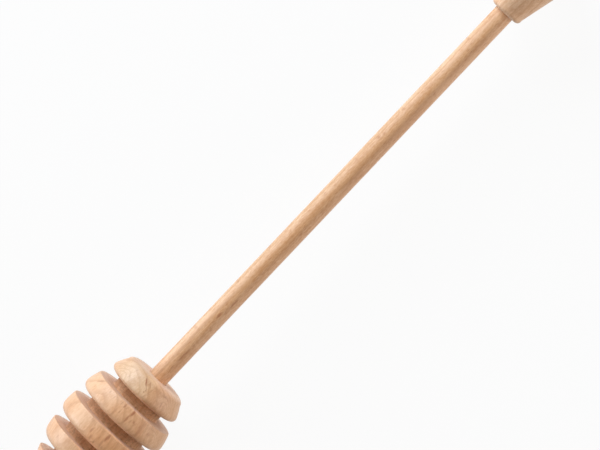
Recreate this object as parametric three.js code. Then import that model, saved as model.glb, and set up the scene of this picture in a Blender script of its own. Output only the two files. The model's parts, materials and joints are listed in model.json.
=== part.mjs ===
// A honey dipper turned in beech: a grooved head, a round stick and a cone-shaped end knob.
// Millimetres, +Z up. It lies on its side as it would on a table, with the knob toward +X.
// Every outline is drawn beside the turning axis: x is the radius, y the distance along the
// axis from the tip of the nose.

import * as THREE from 'three';

// Head: an egg-shaped barrel, cut into ridges by grooves
const headLength = 47.4;         // tip of the nose to the collar's flat face
const barrelDiameter = 29.9;     // over the thickest place
const noseLength = 26.4;         // tip of the nose to the thickest place
const barrelEndDiameter = 17.9;  // the barrel's width where the collar's face cuts it
const collarLength = 6.75;       // flat face to the first groove
const collarEdgeLength = 1;      // rounding between the flat face and the barrel
const collarEdgeDepth = 1.4;
const collarShoulderLength = 2.05; // rounding between the barrel and the first groove
const collarShoulderDepth = 2.5;

// Honey grooves and the ridges between them
const grooveCount = 4;
const grooveWidth = 2.95;
const grooveDepth = 4.85;
const grooveFillet = 0.45;       // at the two corners of a groove's floor
const ridgePitch = 9.17;         // groove to groove
const nosePitch = 8.7;           // the groove next to the nose is cut a little nearer
const shoulderLength = 2.2;      // the soft shoulder on each ridge's nose side
const shoulderDepth = 1.7;
const crownDrop = 0.25;          // how far a ridge's top falls toward its sharp rim
const rimBreak = 0.18;           // the sanded edge of the rim

// Stick: a plain dowel, glued into both turned pieces
const stickDiameter = 6;
const stickShownLength = 143;    // between the collar and the knob
const stickEndChamfer = 0.6;
const headBoreDepth = 16;
const knobBoreDepth = 12;
const drillPointAngle = 118;     // degrees, across the cone that the drill leaves
const glueGap = 0.1;             // beside the stick in its bores
const seatGap = 0.3;             // between the stick's end and the floor of its bore

// End knob: a cone that widens away from the stick to a well-rounded end
const knobLength = 24;
const knobNeckDiameter = 9.7;    // the cone's width where the knob's small face cuts it
const knobConeAngle = 12.8;      // degrees, between the cone and the axis
const knobShoulderRadius = 1.3;
const knobEndRadius = 5;

// Facets
const facetsAround = 48;
const domeSteps = 9;
const crownSteps = 3;
const shoulderSteps = 4;
const filletSteps = 2;
const roundSteps = 6;

// Wood
const headColour = 0xd8b088;
const stickColour = 0xd2a478;
const knobColour = 0xcfa47c;
const woodRoughness = 0.62;

// Points of a quarter ellipse, from its first end to its second. The first end lies straight
// beside the centre in x, or straight beyond it in y.
function quarterRound(centreX, centreY, reachX, reachY, steps, startsBeside) {
  const points = [];
  for (let i = 0; i <= steps; i++) {
    const turn = (Math.PI / 2) * (startsBeside ? i / steps : 1 - i / steps);
    points.push(new THREE.Vector2(
      centreX + reachX * Math.cos(turn),
      centreY + reachY * Math.sin(turn),
    ));
  }
  return points;
}

// The barrel's radius: two half ellipses that meet at the thickest place.
const barrelRadius = barrelDiameter / 2;
const backRoot = Math.sqrt(1 - (barrelEndDiameter / barrelDiameter) ** 2);
const backHalfLength = (headLength - noseLength) / backRoot;

function barrelAt(y) {
  const halfLength = y < noseLength ? noseLength : backHalfLength;
  return barrelRadius * Math.sqrt(1 - ((y - noseLength) / halfLength) ** 2);
}

// A soft shoulder, from the groove's wall at y to the full barrel.
function shoulderPoints(y, length, depth) {
  return quarterRound(0, 0, depth, length, shoulderSteps, false)
    .map((p) => new THREE.Vector2(barrelAt(y + length - p.y) - depth + p.x, y + length - p.y));
}

// The top of a ridge from y to its rim, with a slight crown and the sanded edge.
function crownPoints(y, rimY) {
  const points = [];
  for (let i = 1; i <= crownSteps; i++) {
    const share = i / crownSteps;
    const at = y + (rimY - rimBreak - y) * share;
    points.push(new THREE.Vector2(barrelAt(at) - crownDrop * share ** 2, at));
  }
  points.push(new THREE.Vector2(barrelAt(rimY) - crownDrop - rimBreak, rimY));
  return points;
}

// A groove from its nose-side wall at y, with rounded corners on its floor.
function groovePoints(y) {
  const floorRadius = barrelAt(y + grooveWidth / 2) - grooveDepth;
  const inner = floorRadius + grooveFillet;
  const near = quarterRound(inner, y + grooveFillet, -grooveFillet, -grooveFillet, filletSteps, false);
  const far = quarterRound(
    inner, y + grooveWidth - grooveFillet, -grooveFillet, grooveFillet, filletSteps, true,
  );
  return [...near, ...far];
}

// A drilled blind bore, from its mouth to the point on the axis. Its depth is taken away from
// the mouth along y in the given direction.
const boreRadius = stickDiameter / 2 + glueGap;
const drillPointLength = boreRadius / Math.tan(THREE.MathUtils.degToRad(drillPointAngle / 2));

function borePoints(mouthY, depth, direction) {
  return [
    new THREE.Vector2(boreRadius, mouthY),
    new THREE.Vector2(boreRadius, mouthY + direction * depth),
    new THREE.Vector2(0, mouthY + direction * (depth + drillPointLength)),
  ];
}

// Places of the grooves' nose-side walls, from the collar to the nose.
const grooveStarts = [];
let grooveStart = headLength - collarLength - grooveWidth;
for (let i = 0; i < grooveCount; i++) {
  if (i > 0) grooveStart -= i < grooveCount - 1 ? ridgePitch : nosePitch;
  grooveStarts.push(grooveStart);
}

// Head outline: nose, ridges and grooves, collar, bore
function headOutline() {
  const points = [];
  const noseRimY = grooveStarts[grooveCount - 1];
  const crownStart = noseRimY / 2;
  for (let i = 0; i <= domeSteps; i++) {
    const y = crownStart * (1 - Math.cos((Math.PI / 2) * (i / domeSteps)));
    points.push(new THREE.Vector2(barrelAt(y), y));
  }
  points[0].x = 0;
  points.push(...crownPoints(crownStart, noseRimY));
  for (let i = grooveCount - 1; i >= 0; i--) {
    const wallY = grooveStarts[i] + grooveWidth;
    points.push(...groovePoints(grooveStarts[i]));
    if (i > 0) {
      points.push(...shoulderPoints(wallY, shoulderLength, shoulderDepth));
      points.push(...crownPoints(wallY + shoulderLength, grooveStarts[i - 1]));
    } else {
      points.push(...shoulderPoints(wallY, collarShoulderLength, collarShoulderDepth));
    }
  }
  const edgeY = headLength - collarEdgeLength;
  const collarTop = grooveStarts[0] + grooveWidth + collarShoulderLength;
  for (let i = 1; i < crownSteps; i++) {
    const y = collarTop + (edgeY - collarTop) * (i / crownSteps);
    points.push(new THREE.Vector2(barrelAt(y), y));
  }
  const edgeRadius = barrelAt(edgeY);
  const faceRadius = barrelEndDiameter / 2 - collarEdgeDepth;
  points.push(...quarterRound(
    faceRadius, edgeY, edgeRadius - faceRadius, collarEdgeLength, filletSteps + 1, true,
  ));
  points.push(...borePoints(headLength, headBoreDepth, -1));
  return points;
}

// Stick outline: a dowel with chamfered ends
const knobFaceY = headLength + stickShownLength;

function stickOutline() {
  const radius = stickDiameter / 2;
  const bottom = headLength - headBoreDepth + seatGap;
  const top = knobFaceY + knobBoreDepth - seatGap;
  return [
    new THREE.Vector2(0, bottom),
    new THREE.Vector2(radius - stickEndChamfer, bottom),
    new THREE.Vector2(radius, bottom + stickEndChamfer),
    new THREE.Vector2(radius, top - stickEndChamfer),
    new THREE.Vector2(radius - stickEndChamfer, top),
    new THREE.Vector2(0, top),
  ];
}

// Knob outline: bore, small face, shoulder, cone and rounded end. Both rounds touch the cone.
function knobOutline() {
  const slope = Math.tan(THREE.MathUtils.degToRad(knobConeAngle));
  const lean = Math.atan(slope);
  const coneAt = (y) => knobNeckDiameter / 2 + slope * (y - knobFaceY);
  const roundCentreX = (y, radius) => coneAt(y) - radius / Math.cos(lean);
  const points = borePoints(knobFaceY, knobBoreDepth, 1).reverse();
  const shoulderY = knobFaceY + knobShoulderRadius;
  const shoulderX = roundCentreX(shoulderY, knobShoulderRadius);
  for (let i = 0; i <= roundSteps; i++) {
    const turn = (Math.PI / 2 + lean) * (i / roundSteps);
    points.push(new THREE.Vector2(
      shoulderX + knobShoulderRadius * Math.sin(turn),
      shoulderY - knobShoulderRadius * Math.cos(turn),
    ));
  }
  const endY = knobFaceY + knobLength - knobEndRadius;
  const endX = roundCentreX(endY, knobEndRadius);
  for (let i = 0; i <= roundSteps; i++) {
    const turn = (Math.PI / 2 + lean) * (i / roundSteps) - lean;
    points.push(new THREE.Vector2(
      endX + knobEndRadius * Math.cos(turn),
      endY + knobEndRadius * Math.sin(turn),
    ));
  }
  points.push(new THREE.Vector2(0, knobFaceY + knobLength));
  return points;
}

// A turned piece with one of its flat facets downward
function turnedPiece(name, outline, colour) {
  const geometry = new THREE.LatheGeometry(outline, facetsAround, Math.PI / facetsAround);
  const material = new THREE.MeshStandardMaterial({
    color: colour, roughness: woodRoughness, metalness: 0,
  });
  const mesh = new THREE.Mesh(geometry, material);
  mesh.name = name;
  return mesh;
}

const headPoints = headOutline();
const knobPoints = knobOutline();

// Turning axis along X
const turned = new THREE.Group();
turned.add(turnedPiece('dipper_head', headPoints, headColour));
turned.add(turnedPiece('stick', stickOutline(), stickColour));
turned.add(turnedPiece('end_knob', knobPoints, knobColour));
turned.rotation.z = -Math.PI / 2;

// The lean at rest: one straight line touches the head's thickest ridge and the knob's rim.
const restSlope = Math.max(...headPoints.map((h) => Math.min(
  ...knobPoints.filter((k) => k.x > boreRadius).map((k) => (h.x - k.x) / (k.y - h.y)),
)));
const leaning = new THREE.Group();
leaning.add(turned);
leaning.rotation.y = Math.atan(restSlope);

// Rest on z = 0, with the middle of the box over the origin
const box = new THREE.Box3().setFromObject(leaning, true);
const middle = box.getCenter(new THREE.Vector3());
leaning.position.set(-middle.x, -middle.y, -box.min.z);

const dipper = new THREE.Group();
dipper.add(leaning);

export default dipper;
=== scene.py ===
import json
import math

import bpy
from mathutils import Matrix, Vector


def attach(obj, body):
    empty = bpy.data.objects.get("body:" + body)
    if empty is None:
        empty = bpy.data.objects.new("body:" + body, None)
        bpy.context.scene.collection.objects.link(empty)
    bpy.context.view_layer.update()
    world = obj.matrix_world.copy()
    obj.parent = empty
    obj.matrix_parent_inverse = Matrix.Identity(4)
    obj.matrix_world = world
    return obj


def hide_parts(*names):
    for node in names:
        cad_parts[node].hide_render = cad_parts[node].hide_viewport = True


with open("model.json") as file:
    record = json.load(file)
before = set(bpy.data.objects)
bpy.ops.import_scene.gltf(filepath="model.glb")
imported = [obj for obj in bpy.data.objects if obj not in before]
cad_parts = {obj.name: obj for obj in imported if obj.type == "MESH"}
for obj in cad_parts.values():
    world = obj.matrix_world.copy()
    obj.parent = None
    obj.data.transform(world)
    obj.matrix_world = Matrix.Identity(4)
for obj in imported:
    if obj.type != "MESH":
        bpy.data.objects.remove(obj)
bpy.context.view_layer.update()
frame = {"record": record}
print("packed dipper loaded")

mm = 0.001

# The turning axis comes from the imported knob_end mount, which sits on it.
knobEnd = next(m for m in frame["record"]["mounts"] if m["name"] == "knob_end")
along = Vector(knobEnd["axis"]).normalized()
lean = math.asin(-along.z)

# Lengths along the axis, in mm like all sizes of the pieces
lengths = {"head": 47.4, "stick": 143.0, "knob": 24.0}
knobFace = lengths["head"] + lengths["stick"]    # from the tip of the nose
wholeLength = knobFace + lengths["knob"]
noseTip = Vector(knobEnd["pos_m"]) - along * wholeLength * mm

# From the lathe, where x runs along the axis and z is up, to the dipper's place on the table
layDown = Matrix.Translation(noseTip) @ Matrix.Rotation(lean, 4, "Y") @ Matrix.Scale(mm, 4)

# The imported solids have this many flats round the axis, and the smooth rounds sit inside them.
packedFlats = 48
roundShare = math.cos(math.pi / packedFlats)


# Camera
cameraLook = {
    "lens": 300,            # mm, on a 36 mm sensor
    "sensor": 36,
    "distance": 1.4175,     # m
    "aimAlong": 107.0,      # mm from the nose, where the picture's middle lies
    "aimAside": 0.687,      # mm beside the axis
    "tilt": 5.2,            # degrees, by which the knob is nearer than the head
    "diagonal": 46.52,      # degrees, the dipper's slope in the picture
    "farEnd": 20,           # m, as far as the camera sees
}


def addCamera(look):
    tilt = math.radians(look["tilt"])
    slope = math.radians(look["diagonal"])
    aside = Vector((0, 1, 0))
    upright = along.cross(aside)
    back = math.sin(tilt) * along + math.cos(tilt) * upright
    alongPicture = (along - along.dot(back) * back).normalized()
    acrossPicture = back.cross(alongPicture)
    right = math.cos(slope) * alongPicture - math.sin(slope) * acrossPicture
    up = back.cross(right)
    aim = noseTip + along * look["aimAlong"] * mm + acrossPicture * look["aimAside"] * mm
    bpy.ops.object.camera_add()
    camera = bpy.context.object
    camera.name = "dipperCamera"
    camera.matrix_world = Matrix.Translation(aim + back * look["distance"]) @ Matrix(
        (right, up, back)
    ).transposed().to_4x4()
    camera.data.sensor_width = look["sensor"]
    camera.data.lens = look["lens"]
    camera.data.clip_end = look["farEnd"]
    bpy.context.scene.camera = camera


addCamera(cameraLook)
print("camera placed")


# Turning: an outline is drawn point by point and spun round the axis
turning = {
    "samePoint": 0.0005,    # mm, within which points are merged
    "crispAngle": 40,       # degrees, from which an edge is an edge
    "bevelSegments": 3,
    "cloudDetail": 2,
}


def drawOutline(name, points):
    bpy.ops.object.select_all(action="DESELECT")
    bpy.ops.mesh.primitive_plane_add(size=1)
    piece = bpy.context.object
    piece.name = name
    piece.data.name = name
    bpy.ops.object.mode_set(mode="EDIT")
    bpy.ops.mesh.merge(type="CENTER")
    x, r = points[0]
    bpy.ops.transform.translate(value=(x, 0, r))
    for nextX, nextR in points[1:]:
        bpy.ops.mesh.extrude_region_move(
            TRANSFORM_OT_translate={"value": (nextX - x, 0, nextR - r)}
        )
        x, r = nextX, nextR
    return piece


def spinOutline(piece, steps):
    bpy.ops.mesh.select_all(action="SELECT")
    bpy.ops.mesh.spin(steps=steps, angle=2 * math.pi, center=(0, 0, 0), axis=(1, 0, 0))
    bpy.ops.mesh.select_all(action="SELECT")
    bpy.ops.mesh.remove_doubles(threshold=turning["samePoint"])
    bpy.ops.mesh.normals_make_consistent(inside=False)
    bpy.ops.object.mode_set(mode="OBJECT")
    piece.scale = (1, roundShare, roundShare)
    bpy.ops.object.transform_apply(location=False, rotation=False, scale=True)


def applyBevel(piece, width):
    bevel = piece.modifiers.new("softEdges", "BEVEL")
    bevel.width = width
    bevel.segments = turning["bevelSegments"]
    bevel.limit_method = "ANGLE"
    bevel.angle_limit = math.radians(turning["crispAngle"])
    bpy.ops.object.modifier_apply(modifier=bevel.name)


def applyUnevenness(piece, size, depth):
    clouds = bpy.data.textures.new(piece.name + "Clouds", "CLOUDS")
    clouds.noise_scale = size
    clouds.noise_depth = turning["cloudDetail"]
    uneven = piece.modifiers.new("uneven", "DISPLACE")
    uneven.texture = clouds
    uneven.texture_coords = "LOCAL"
    uneven.strength = depth
    uneven.mid_level = 1.0        # only ever inward, so the piece keeps to its box
    bpy.ops.object.modifier_apply(modifier=uneven.name)


def layOnTable(piece):
    bpy.ops.object.shade_smooth_by_angle(angle=math.radians(turning["crispAngle"]))
    piece.matrix_world = layDown
    bpy.ops.object.transform_apply(location=True, rotation=True, scale=True)


def shares(count):
    return [i / count for i in range(count + 1)]


# Head
headShape = {
    "width": 29.9,               # over the thickest place
    "noseLength": 26.4,          # tip of the nose to the thickest place
    "faceWidth": 17.9,           # the barrel's width where the collar's face cuts it
    "collarLength": 6.75,
    "collarEdge": (1.6, 1.9),    # length and depth of a rounding, as soft as sanding left it
    "collarShoulder": (2.05, 2.5),
    "ridgeShoulder": (2.2, 1.7),
    "grooves": 4,
    "grooveWidth": 2.95,
    "grooveDepth": 4.85,
    "ridgePitch": 9.17,
    "nosePitch": 8.7,
    "crownDrop": 0.25,
    "boreDepth": 16.0,
    "boreRadius": 3.03,
    "drillPoint": 118,           # degrees
    "rimRadius": 0.25,
    "unevenness": 0.05,
    "cloudSize": 7.0,
    "steps": 224,                # round the axis, and below along each stretch of the outline
    "noseSteps": 24,
    "wallSteps": 4,
    "floorSteps": 6,
    "backWallSteps": 3,
    "shoulderSteps": 12,
    "crownSteps": 9,
    "edgeSteps": 6,
    "faceSteps": 4,
}

barrelRadius = headShape["width"] / 2
backRoot = math.sqrt(1 - (headShape["faceWidth"] / headShape["width"]) ** 2)
backHalf = (lengths["head"] - headShape["noseLength"]) / backRoot


def barrelAt(x):
    half = headShape["noseLength"] if x < headShape["noseLength"] else backHalf
    return barrelRadius * math.sqrt(max(0.0, 1 - ((x - headShape["noseLength"]) / half) ** 2))


def borePoints(mouthX, depth, direction):
    r = headShape["boreRadius"]
    point = r / math.tan(math.radians(headShape["drillPoint"] / 2))
    return [
        (mouthX, r),
        (mouthX + direction * depth, r),
        (mouthX + direction * (depth + point), 0.0),
    ]


def headOutline(s):
    starts = [lengths["head"] - s["collarLength"] - s["grooveWidth"]]
    for i in range(1, s["grooves"]):
        pitch = s["ridgePitch"] if i < s["grooves"] - 1 else s["nosePitch"]
        starts.append(starts[-1] - pitch)
    starts.reverse()
    # Nose, up to the rim of its groove
    rim = starts[0]
    points = []
    for t in shares(s["noseSteps"]):
        x = rim * (1 - math.cos(math.pi / 2 * t))
        drop = s["crownDrop"] * max(0.0, (x - rim / 2) / (rim / 2)) ** 2
        points.append((x, barrelAt(x) - drop))
    points[0] = (0.0, 0.0)
    for i, start in enumerate(starts):
        # Groove: wall, floor and wall, then the soft shoulder behind it
        atCollar = i == len(starts) - 1
        floor = barrelAt(start + s["grooveWidth"] / 2) - s["grooveDepth"]
        wall = start + s["grooveWidth"]
        length, depth = s["collarShoulder"] if atCollar else s["ridgeShoulder"]
        rimRadius = points[-1][1]
        for t in shares(s["wallSteps"])[1:]:
            points.append((start, rimRadius + (floor - rimRadius) * t))
        for t in shares(s["floorSteps"])[1:]:
            points.append((start + s["grooveWidth"] * t, floor))
        shoulderFoot = barrelAt(wall) - depth
        for t in shares(s["backWallSteps"])[1:]:
            points.append((wall, floor + (shoulderFoot - floor) * t))
        for t in shares(s["shoulderSteps"])[1:]:
            turn = math.pi / 2 * t
            x = wall + length * (1 - math.cos(turn))
            points.append((x, barrelAt(x) - depth * (1 - math.sin(turn))))
        # Crown, up to the next rim or to the collar's edge
        top = wall + length
        end = lengths["head"] - s["collarEdge"][0] if atCollar else starts[i + 1]
        drop = 0.0 if atCollar else s["crownDrop"]
        for t in shares(s["crownSteps"])[1:]:
            x = top + (end - top) * t
            points.append((x, barrelAt(x) - drop * t**2))
    # Collar's edge, flat face and bore
    edgeLength, edgeDepth = s["collarEdge"]
    edge = lengths["head"] - edgeLength
    faceRadius = s["faceWidth"] / 2 - edgeDepth
    reach = barrelAt(edge) - faceRadius
    for t in shares(s["edgeSteps"])[1:]:
        turn = math.pi / 2 * t
        points.append((edge + edgeLength * math.sin(turn), faceRadius + reach * math.cos(turn)))
    bore = borePoints(lengths["head"], s["boreDepth"], -1)
    for t in shares(s["faceSteps"])[1:-1]:
        points.append((lengths["head"], faceRadius + (bore[0][1] - faceRadius) * t))
    points.extend(bore)
    return points


def turnHead(s):
    head = drawOutline("turnedHead", headOutline(s))
    spinOutline(head, s["steps"])
    applyBevel(head, s["rimRadius"])
    applyUnevenness(head, s["cloudSize"], s["unevenness"])
    layOnTable(head)
    return head


# Stick
stickShape = {
    "width": 6.0,
    "endChamfer": 0.6,
    "seatGap": 0.3,
    "unevenness": 0.03,
    "cloudSize": 9.0,
    "steps": 96,                 # round the axis, and below along it
    "lengthSteps": 140,
}


def turnStick(s):
    radius = s["width"] / 2
    bottom = lengths["head"] - headShape["boreDepth"] + s["seatGap"]
    top = knobFace + knobShape["boreDepth"] - s["seatGap"]
    cut = s["endChamfer"]
    points = [(bottom, 0.0), (bottom, radius - cut)]
    for t in shares(s["lengthSteps"]):
        points.append((bottom + cut + (top - bottom - 2 * cut) * t, radius))
    points += [(top, radius - cut), (top, 0.0)]
    stick = drawOutline("dowelStick", points)
    spinOutline(stick, s["steps"])
    applyUnevenness(stick, s["cloudSize"], s["unevenness"])
    layOnTable(stick)
    return stick


# End knob
knobShape = {
    "neckWidth": 9.7,
    "coneAngle": 12.8,           # degrees, between the cone and the axis
    "shoulderRadius": 1.3,
    "endRadius": 5.0,
    "boreDepth": 12.0,
    "unevenness": 0.04,
    "cloudSize": 6.0,
    "steps": 160,                # round the axis, and below along each stretch of the outline
    "shoulderSteps": 10,
    "coneSteps": 14,
    "endSteps": 16,
    "faceSteps": 4,
}


def turnKnob(s):
    slope = math.tan(math.radians(s["coneAngle"]))
    tilt = math.atan(slope)

    def roundCentre(x, radius):
        return s["neckWidth"] / 2 + slope * (x - knobFace) - radius / math.cos(tilt)

    points = list(reversed(borePoints(knobFace, s["boreDepth"], 1)))
    shoulderX = knobFace + s["shoulderRadius"]
    shoulderR = roundCentre(shoulderX, s["shoulderRadius"])
    for t in shares(s["shoulderSteps"]):
        turn = (math.pi / 2 + tilt) * t
        points.append((
            shoulderX - s["shoulderRadius"] * math.cos(turn),
            shoulderR + s["shoulderRadius"] * math.sin(turn),
        ))
    endX = knobFace + lengths["knob"] - s["endRadius"]
    endR = roundCentre(endX, s["endRadius"])
    startX, startR = points[-1]
    coneX = endX - s["endRadius"] * math.sin(tilt)
    coneR = endR + s["endRadius"] * math.cos(tilt)
    for t in shares(s["coneSteps"])[1:-1]:
        points.append((startX + (coneX - startX) * t, startR + (coneR - startR) * t))
    for t in shares(s["endSteps"]):
        turn = (math.pi / 2 + tilt) * t - tilt
        points.append((endX + s["endRadius"] * math.sin(turn), endR + s["endRadius"] * math.cos(turn)))
    for t in shares(s["faceSteps"])[1:]:
        points.append((wholeLength, endR * (1 - t)))
    knob = drawOutline("turnedKnob", points)
    spinOutline(knob, s["steps"])
    applyUnevenness(knob, s["cloudSize"], s["unevenness"])
    layOnTable(knob)
    return knob


head = turnHead(headShape)
stick = turnStick(stickShape)
knob = turnKnob(knobShape)
print("head, stick and knob turned")


# Beech: growth rings round a pith, rays, fibres and pores, all in mm along the grain.
# The pith lies beside the piece: "pithTurn" is its direction round the axis in degrees, where
# 0 is up and 90 is toward the far side of the table.
headWood = {
    "pale": (0.72, 0.435, 0.25),
    "deep": (0.59, 0.30, 0.14),
    "ringLine": (0.48, 0.225, 0.095),
    "mark": (0.30, 0.075, 0.015),
    "grooveTornAndShadeTint": (0.92, 0.89, 0.86),   # multiplies the colour on the floors of the grooves: torn grain and painted shade
    "pithTurn": -137,
    "pithDistance": 25,
    "grainTilt": (1.2, -2.0),
    "ringWidth": 1.6,
    "ringWave": 1.4,
    "ringStrength": 0.42,
    "fleckLength": 2.2,
    "fleckWidth": 0.5,
    "fleckStrength": 0.32,
    "fleckAmount": 0.5,
    "fibreStrength": 1.2,
    "speckleStrength": 1.7,
    "markWidth": 1.5,
    "markStrength": 1.1,
    "roughness": 0.5,
    "shine": 0.65,
    "bloom": 0.3,                       # a faint veil of raised fibres
}
stickWood = dict(
    headWood, pithTurn=150, pithDistance=38, grainTilt=(0.4, 0.3), ringWave=0.8, ringWidth=2.1,
    grooveTornAndShadeTint=None, pale=(0.74, 0.44, 0.25), deep=(0.58, 0.29, 0.13), fibreStrength=1.5,
    speckleStrength=2.3, fleckStrength=0.4,
)
knobWood = dict(
    headWood, pithTurn=-60, pithDistance=20, grainTilt=(-1.5, 1.0), grooveTornAndShadeTint=None,
    pale=(0.74, 0.47, 0.29), deep=(0.60, 0.34, 0.18),
)

# What the three woods share. A noise has its waves to a mm along and across the grain, then its
# detail and roughness. An edge is where a soft step starts and where it ends.
beech = {
    "waveNoise": (0.05, 0.11, 2.0, 0.5),
    "wobbleNoise": (0.25, 0.5, 1.0, 0.5),
    "fibreNoise": (0.14, 2.6, 3.0, 0.6),
    "poreNoise": (0.9, 8.0, 1.0, 0.5),
    "driftNoise": (0.05, 0.22, 2.0, 0.5),
    "mottleNoise": (0.45, 0.8, 2.0, 0.5),
    "speckleNoise": (0.8, 2.4, 2.0, 0.65),
    "frayNoise": (0.9, 3.0, 2.0, 0.5),
    "tornNoise": (2.2, 1.1, 2.0, 0.7),
    "lateWoodEdge": (0.55, 0.93),       # in shares of a ring
    "rayWobble": 1.2,
    "rayDrift": 0.12,
    "fleckEdge": (0.10, 0.42),
    "poreEdge": (0.62, 0.75),
    "driftEdge": (0.3, 0.7),
    "driftTone": 0.55,                  # how much of the deep colour each of these brings in
    "ringTone": 0.25,
    "mottleTone": 0.7,
    "poreTone": 0.12,
    "markFray": 0.9,
    "markEdge": (0.35, 1.5),            # in shares of the mark's oval, as for a patch
    "patchEdge": (0.4, 1.3),
    "floorEdge": (2.0, 4.6),            # mm below the barrel, where a groove's torn grain and painted shade begin
    "pastWall": 0.5,                    # mm, by which it runs on past the collar's wall
    # How much darker the torn grain and the painted shade make the groove floors in places
    "tornAndShadeTint": 0.7,
    "tornEdge": (0.35, 0.75),
    "tornRoughness": 0.3,
    "fibreRoughness": 0.2,
    "bloomRoughness": 0.4,
    "fibreHeight": 0.5,                 # shares of the bump's height
    "fleckHeight": 0.4,
    "poreHeight": 0.5,
    "markHeight": 0.8,
    "tornHeight": 1.6,
    "bumpStrength": 0.4,
    "bumpHeight": 0.06,                 # mm
}

# Marks in the wood, each with its place: mm from the nose and degrees round the axis, then
# its length and width in mm, how far it slants in degrees, and how dark it is.
headMarks = [
    (45.6, 9.5, 3.2, 0.34, 55, 0.75),      # collar: two slanting checks
    (44.6, 3.2, 2.8, 0.26, 52, 0.35),
    (45.6, 1.0, 2.2, 0.30, 54, 0.45),
    (43.2, 1.3, 0.5, 0.34, 0, 0.55),       # collar: pin knots
    (43.8, 0.7, 0.5, 0.34, 0, 0.50),
    (43.6, -4.5, 5.0, 0.35, -22, 0.22),
    (43.5, -31.4, 1.6, 0.40, 8, 0.35),
    (36.9, -7.6, 2.2, 0.55, -6, 0.70),     # second ridge: a long dark fleck in two parts
    (34.8, -5.8, 3.2, 0.42, -3, 0.45),
    (37.0, 5.8, 1.6, 0.42, 0, 0.40),
    (33.7, 10.4, 2.8, 0.35, 2, 0.22),
    (35.2, -15.1, 0.8, 0.40, 15, 0.38),
    (34.9, -26.7, 5.0, 0.75, 0, 0.26),
    (36.5, 55.3, 2.6, 0.34, -48, 0.40),
    (27.0, -4.9, 3.0, 0.60, -4, 0.60),     # third ridge
    (24.8, -3.8, 3.0, 0.45, 6, 0.35),
    (25.6, 13.8, 1.8, 0.45, 0, 0.40),
    (23.9, 9.4, 1.8, 0.45, 0, 0.40),
    (24.3, 3.3, 3.0, 0.32, 0, 0.20),
]
stickMarks = [
    (72.7, -5.4, 2.4, 0.42, 0, 0.60),
    (78.1, -22.2, 3.0, 0.36, 0, 0.45),
    (57.3, -16.5, 5.0, 0.45, -4, 0.35),
]
knobMarks = [
    (192.5, -9.1, 1.6, 0.9, 0, 0.15),
]

# Swirls lift the growth rings into closed loops: place, reach in mm and height in rings
headSwirls = [
    (41.2, 44.0, 4.6, 1.7),
    (43.0, -40.0, 4.6, 2.6),
    (34.2, -50.0, 4.2, 3.0),
]

# Patches of another tone, each with its place, its reach along and across the grain in mm and
# the colour that it multiplies by. They are partly the wood's own tone and partly painted light and
# shade.
headToneAndLightPatches = [
    (44.5, 32.0, 5.5, 14.0, (0.95, 1.06, 1.13)),    # collar: painted highlight, paler on the lit far side
    # collar: painted shade, darker and warmer on the shaded near side
    (44.5, -26.0, 5.5, 6.0, (0.95, 0.89, 0.86)),
    (44.5, 0.0, 5.5, 5.0, (1.09, 1.08, 1.06)),
    (23.5, -12.0, 7.0, 9.0, (1.18, 1.05, 0.92)),    # third and fourth ridge: a warmer streak
    (34.5, -8.0, 4.0, 9.0, (1.10, 1.04, 0.98)),
]
stickToneAndLightPatches = [
    (120.0, 62.0, 90.0, 1.5, (1.0, 1.10, 1.18)),    # painted highlight, paler along its lit far side
    (120.0, 0.0, 90.0, 1.0, (1.10, 1.08, 1.0)),
]
knobToneAndLightPatches = [
    (196.0, 30.0, 8.0, 3.5, (1.06, 1.09, 1.11)),
]

# The radius at which each surface is laid flat for its marks and patches
flatRadius = {"head": barrelRadius, "stick": stickShape["width"] / 2, "knob": 6.0}


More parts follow.
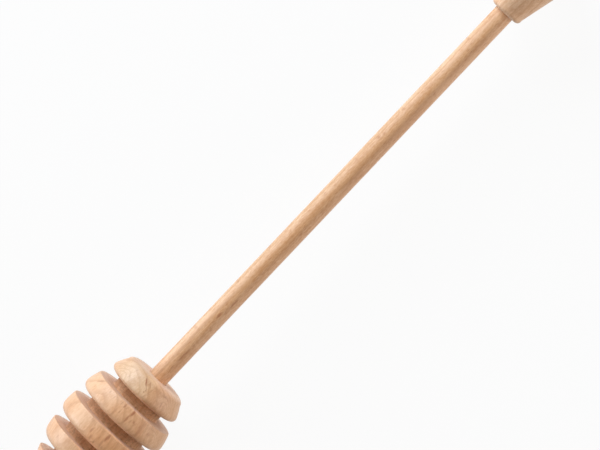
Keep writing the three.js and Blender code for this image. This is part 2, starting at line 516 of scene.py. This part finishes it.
def makeBeech(name, wood, radius, marks=(), swirls=(), patches=()):
    material = bpy.data.materials.new(name)
    material.use_nodes = True
    tree = material.node_tree
    nodes, links = tree.nodes, tree.links
    shader = nodes["Principled BSDF"]

    def feed(socket, value):
        if isinstance(value, tuple):
            socket.default_value = (*value, 1.0)
        elif isinstance(value, (int, float)):
            socket.default_value = value
        else:
            links.new(value, socket)

    def calc(operation, *values):
        made = nodes.new("ShaderNodeMath")
        made.operation = operation
        for socket, value in zip(made.inputs, values):
            feed(socket, value)
        return made.outputs[0]

    def mixColour(share, first, second, blend="MIX"):
        made = nodes.new("ShaderNodeMix")
        made.data_type = "RGBA"
        made.blend_type = blend
        feed(made.inputs[0], share)
        feed(made.inputs[6], first)
        feed(made.inputs[7], second)
        return made.outputs[2]

    def smooth(value, low, high):
        made = nodes.new("ShaderNodeMapRange")
        made.interpolation_type = "SMOOTHSTEP"
        feed(made.inputs["Value"], value)
        made.inputs["From Min"].default_value = low
        made.inputs["From Max"].default_value = high
        return made.outputs["Result"]

    def mapping(vector, kind="POINT", location=(0, 0, 0), rotation=(0, 0, 0), scale=(1, 1, 1)):
        made = nodes.new("ShaderNodeMapping")
        made.vector_type = kind
        links.new(vector, made.inputs["Vector"])
        made.inputs["Location"].default_value = location
        made.inputs["Rotation"].default_value = rotation
        made.inputs["Scale"].default_value = scale
        return made.outputs["Vector"]

    def noise(vector, kind):
        lengthwise, across, detail, rough = beech[kind]
        made = nodes.new("ShaderNodeTexNoise")
        links.new(mapping(vector, scale=(lengthwise, across, across)), made.inputs["Vector"])
        made.inputs["Scale"].default_value = 1.0
        made.inputs["Detail"].default_value = detail
        made.inputs["Roughness"].default_value = rough
        return made.outputs["Fac"]

    def centred(value):
        return calc("SUBTRACT", value, 0.5)    # a noise lies round 0.5

    def inverse(value):
        return calc("SUBTRACT", 1.0, value)

    def apart(vector):
        made = nodes.new("ShaderNodeSeparateXYZ")
        links.new(vector, made.inputs[0])
        return made.outputs

    def together(*values):
        made = nodes.new("ShaderNodeCombineXYZ")
        for socket, value in zip(made.inputs, values):
            feed(socket, value)
        return made.outputs[0]

    def reach(first, second):
        squares = calc("ADD", calc("MULTIPLY", first, first), calc("MULTIPLY", second, second))
        return calc("SQRT", squares)

    def awayFrom(vector, place, size, slant=0.0):
        # Distance from a place on the surface, where 1 is the edge of an oval of that size
        x, turn = place
        spot = (x, math.radians(turn) * radius, 0)
        oval = mapping(vector, "TEXTURE", spot, (0, 0, math.radians(slant)), (*size, 1))
        made = nodes.new("ShaderNodeVectorMath")
        made.operation = "LENGTH"
        links.new(oval, made.inputs[0])
        return made.outputs["Value"]

    # From the table to the lathe, and from there to the grain round its pith
    coords = nodes.new("ShaderNodeTexCoord").outputs["Object"]
    unlean = Matrix.Rotation(-lean, 3, "Y")
    lathe = mapping(coords, "POINT", -(unlean @ noseTip) / mm, (0, -lean, 0), (1 / mm,) * 3)
    pithTurn = math.radians(wood["pithTurn"])
    pith = wood["pithDistance"] * Vector((0, math.sin(pithTurn), math.cos(pithTurn)))
    tilt = [math.radians(a) for a in wood["grainTilt"]]
    grain = mapping(lathe, "POINT", -pith, (0, *tilt))

    # The surface laid flat: mm along the axis and mm round it
    lx, ly, lz = apart(lathe)
    flat = together(lx, calc("MULTIPLY", calc("ARCTAN2", ly, lz), radius))
    fromAxis = reach(ly, lz)

    # Growth rings, a little wavy, with a thin darker line at the end of each
    gx, gy, gz = apart(grain)
    fromPith = reach(gy, gz)
    roundPith = calc("ARCTAN2", gz, gy)
    wave = centred(noise(grain, "waveNoise"))
    waved = calc("MULTIPLY_ADD", wave, wood["ringWave"] * 2, fromPith)
    ringCount = calc("DIVIDE", waved, wood["ringWidth"])
    for x, turn, size, height in swirls:
        hill = inverse(smooth(awayFrom(flat, (x, turn), (size, size)), 0.0, 1.0))
        ringCount = calc("MULTIPLY_ADD", hill, height, ringCount)
    inRing = calc("FRACT", ringCount)
    lateStart, lateFull = beech["lateWoodEdge"]
    beforeNext = inverse(smooth(inRing, lateFull, 1.0))
    ringLine = calc("MULTIPLY", smooth(inRing, lateStart, lateFull), beforeNext)
    ringTone = nodes.new("ShaderNodeTexWhiteNoise")
    ringTone.noise_dimensions = "1D"
    links.new(calc("FLOOR", ringCount), ringTone.inputs["W"])

    # Rays: thin sheets out from the pith, seen as short flecks along the grain
    wobble = noise(grain, "wobbleNoise")
    rayTurn = calc("MULTIPLY", roundPith, wood["pithDistance"] / wood["fleckWidth"])
    rayPlace = together(
        calc("DIVIDE", gx, wood["fleckLength"]),
        calc("MULTIPLY_ADD", wobble, beech["rayWobble"], rayTurn),
        calc("MULTIPLY", fromPith, beech["rayDrift"]),
    )
    rays = nodes.new("ShaderNodeTexVoronoi")
    links.new(rayPlace, rays.inputs["Vector"])
    rays.inputs["Scale"].default_value = 1.0
    rayColour = nodes.new("ShaderNodeSeparateColor")
    links.new(rays.outputs["Color"], rayColour.inputs[0])
    fleck = inverse(smooth(rays.outputs["Distance"], *beech["fleckEdge"]))
    fleck = calc("MULTIPLY", fleck, smooth(rayColour.outputs[0], 1 - wood["fleckAmount"], 1.0))

    # Fibres, pores and slow changes of tone
    fibre = noise(grain, "fibreNoise")
    pore = smooth(noise(grain, "poreNoise"), *beech["poreEdge"])
    drift = smooth(noise(grain, "driftNoise"), *beech["driftEdge"])
    mottle = centred(noise(lathe, "mottleNoise"))
    speckle = centred(noise(lathe, "speckleNoise"))

    tone = calc("MULTIPLY", drift, beech["driftTone"])
    tone = calc("MULTIPLY_ADD", ringTone.outputs[0], beech["ringTone"], tone)
    tone = calc("MULTIPLY_ADD", centred(fibre), wood["fibreStrength"], tone)
    tone = calc("MULTIPLY_ADD", mottle, beech["mottleTone"], tone)
    tone = calc("MULTIPLY_ADD", speckle, wood["speckleStrength"], tone)
    colour = mixColour(tone, wood["pale"], wood["deep"])
    colour = mixColour(calc("MULTIPLY", ringLine, wood["ringStrength"]), colour, wood["ringLine"])
    colour = mixColour(calc("MULTIPLY", fleck, wood["fleckStrength"]), colour, wood["mark"])
    colour = mixColour(calc("MULTIPLY", pore, beech["poreTone"]), colour, wood["mark"])

    # The marks, frayed a little along the fibres
    dark = 0.0
    fray = calc("MULTIPLY_ADD", noise(lathe, "frayNoise"), beech["markFray"], -beech["markFray"] / 2)
    for x, turn, length, width, slant, strength in marks:
        size = (length / 2, width / 2 * wood["markWidth"])
        away = calc("ADD", awayFrom(flat, (x, turn), size, slant), fray)
        spot = inverse(smooth(away, *beech["markEdge"]))
        dark = calc("MAXIMUM", dark, calc("MULTIPLY", spot, strength * wood["markStrength"]))
    colour = mixColour(dark, colour, wood["mark"])

    # Roughness, and the height of what stands out or is sunk in
    rough = calc("MULTIPLY_ADD", centred(fibre), beech["fibreRoughness"], wood["roughness"])
    height = calc("MULTIPLY", fibre, beech["fibreHeight"])
    for sunk, depth in ((fleck, "fleckHeight"), (pore, "poreHeight"), (dark, "markHeight")):
        height = calc("SUBTRACT", height, calc("MULTIPLY", sunk, beech[depth]))

    # How far a place lies toward the floor of a groove
    inGroove = 0.0
    if wood["grooveTornAndShadeTint"]:
        noseLength = headShape["noseLength"]
        offCentre = calc("SUBTRACT", lx, noseLength)
        behind = calc("GREATER_THAN", offCentre, 0.0)
        half = calc("MULTIPLY_ADD", behind, backHalf - noseLength, noseLength)
        ratio = calc("DIVIDE", offCentre, half)
        barrelHere = calc("SQRT", calc("MAXIMUM", 0.0, inverse(calc("MULTIPLY", ratio, ratio))))
        below = calc("MULTIPLY_ADD", barrelHere, barrelRadius, calc("MULTIPLY", fromAxis, -1.0))
        wallEnd = lengths["head"] - headShape["collarLength"] + beech["pastWall"]
        inGroove = calc("MULTIPLY", smooth(below, *beech["floorEdge"]), calc("LESS_THAN", lx, wallEnd))

    # The patches leave the floors of the grooves alone
    outside = inverse(inGroove)
    for x, turn, length, width, tint in patches:
        away = awayFrom(flat, (x, turn), (length, width))
        patchShare = calc("MULTIPLY", outside, inverse(smooth(away, *beech["patchEdge"])))
        colour = mixColour(patchShare, colour, mixColour(1.0, colour, tint, "MULTIPLY"))

    # The grooves were cut across the fibres: torn grain and painted shade make them darker toward
    # their floors, and the torn grain makes them rougher
    if wood["grooveTornAndShadeTint"]:
        torn = noise(lathe, "tornNoise")
        tornAndShadeTint = tuple(c * beech["tornAndShadeTint"] for c in wood["grooveTornAndShadeTint"])
        tint = mixColour(smooth(torn, *beech["tornEdge"]), wood["grooveTornAndShadeTint"], tornAndShadeTint)
        colour = mixColour(inGroove, colour, mixColour(1.0, colour, tint, "MULTIPLY"))
        rough = calc("MULTIPLY_ADD", inGroove, beech["tornRoughness"], rough)
        height = calc("MULTIPLY_ADD", calc("MULTIPLY", inGroove, torn), beech["tornHeight"], height)
    shader.inputs["Specular IOR Level"].default_value = wood["shine"]
    shader.inputs["Sheen Weight"].default_value = wood["bloom"]
    shader.inputs["Sheen Roughness"].default_value = beech["bloomRoughness"]
    links.new(colour, shader.inputs["Base Color"])
    links.new(rough, shader.inputs["Roughness"])

    bump = nodes.new("ShaderNodeBump")
    bump.inputs["Strength"].default_value = beech["bumpStrength"]
    bump.inputs["Distance"].default_value = beech["bumpHeight"] * mm
    links.new(height, bump.inputs["Height"])
    links.new(bump.outputs["Normal"], shader.inputs["Normal"])
    return material


def dress(piece, material, node):
    piece.data.materials.clear()
    piece.data.materials.append(material)
    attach(piece, "root")
    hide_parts(node)


headBeech = makeBeech("beechHead", headWood, flatRadius["head"], headMarks, headSwirls, headToneAndLightPatches)
stickBeech = makeBeech("beechDowel", stickWood, flatRadius["stick"], stickMarks, (), stickToneAndLightPatches)
knobBeech = makeBeech("beechKnob", knobWood, flatRadius["knob"], knobMarks, (), knobToneAndLightPatches)
dress(head, headBeech, "dipper_head")
dress(stick, stickBeech, "stick")
dress(knob, knobBeech, "end_knob")
print("beech applied")


# Table: white to the camera, but it keeps a soft share of the dipper's shadow
tableLook = {
    "size": 8.0,                 # m
    "paper": (0.9, 0.9, 0.9),
    "roughness": 0.9,
    "shadowShare": 0.08,
}


def whiteToCamera(tree):
    path = tree.nodes.new("ShaderNodeLightPath")
    seen = path.outputs["Is Camera Ray"]
    for ray in ("Is Glossy Ray", "Is Transmission Ray"):
        either = tree.nodes.new("ShaderNodeMath")
        either.operation = "MAXIMUM"
        tree.links.new(seen, either.inputs[0])
        tree.links.new(path.outputs[ray], either.inputs[1])
        seen = either.outputs[0]
    return seen


def addTable(look):
    bpy.ops.object.select_all(action="DESELECT")
    bpy.ops.mesh.primitive_plane_add(size=look["size"])
    table = bpy.context.object
    table.name = "table"
    material = bpy.data.materials.new("whiteTable")
    material.use_nodes = True
    tree = material.node_tree
    shader = tree.nodes["Principled BSDF"]
    shader.inputs["Base Color"].default_value = (*look["paper"], 1)
    shader.inputs["Roughness"].default_value = look["roughness"]
    glow = tree.nodes.new("ShaderNodeEmission")
    share = tree.nodes.new("ShaderNodeMath")
    share.operation = "MULTIPLY"
    tree.links.new(whiteToCamera(tree), share.inputs[0])
    share.inputs[1].default_value = 1 - look["shadowShare"]
    blend = tree.nodes.new("ShaderNodeMixShader")
    tree.links.new(share.outputs[0], blend.inputs[0])
    tree.links.new(shader.outputs[0], blend.inputs[1])
    tree.links.new(glow.outputs[0], blend.inputs[2])
    tree.links.new(blend.outputs[0], tree.nodes["Material Output"].inputs["Surface"])
    table.data.materials.append(material)


addTable(tableLook)


# Light: three soft boxes stand low round the dipper, the strongest on the far side toward the
# knob, with a little light from the room. "turn" and "rise" are in degrees, the turn from +X
# toward +Y, and the distance and the size are in metres.
coolLight = (0.91, 1.0, 1.11)    # from the far side
warmLight = (1.05, 1.0, 0.94)    # from the near side and the room
softBoxes = {
    "key": {
        "turn": 60, "rise": 18, "distance": 0.9, "size": (0.45, 0.5), "level": 0.92,
        "colour": coolLight,
    },
    "side": {
        "turn": 120, "rise": 12, "distance": 0.8, "size": (0.4, 0.25), "level": 0.54,
        "colour": coolLight,
    },
    "near": {
        "turn": 300, "rise": 14, "distance": 0.8, "size": (0.8, 0.38), "level": 0.48,
        "colour": warmLight,
    },
}
roomLight = 0.29


def addSoftBox(name, box):
    turn, rise = math.radians(box["turn"]), math.radians(box["rise"])
    flat = math.cos(rise)
    direction = Vector((flat * math.cos(turn), flat * math.sin(turn), math.sin(rise)))
    bpy.ops.object.light_add(type="AREA", location=direction * box["distance"])
    light = bpy.context.object
    light.name = name + "SoftBox"
    light.rotation_euler = direction.to_track_quat("Z", "Y").to_euler()
    light.data.shape = "RECTANGLE"
    light.data.size, light.data.size_y = box["size"]
    light.data.color = box["colour"]
    # At level 1 a white card that faces the box is just white.
    light.data.energy = box["level"] * (math.pi * box["distance"]) ** 2


for name, box in softBoxes.items():
    addSoftBox(name, box)


def lightRoom(strength):
    world = bpy.data.worlds.new("studio")
    bpy.context.scene.world = world
    world.use_nodes = True
    tree = world.node_tree
    room = tree.nodes["Background"]
    room.inputs["Strength"].default_value = strength
    room.inputs["Color"].default_value = (*warmLight, 1)
    white = tree.nodes.new("ShaderNodeBackground")
    white.inputs["Strength"].default_value = 1
    white.inputs["Color"].default_value = (1, 1, 1, 1)
    blend = tree.nodes.new("ShaderNodeMixShader")
    tree.links.new(whiteToCamera(tree), blend.inputs[0])
    tree.links.new(room.outputs[0], blend.inputs[1])
    tree.links.new(white.outputs[0], blend.inputs[2])
    tree.links.new(blend.outputs[0], tree.nodes["World Output"].inputs["Surface"])


lightRoom(roomLight)
bpy.context.scene.view_settings.view_transform = "Standard"
print("table and light set")
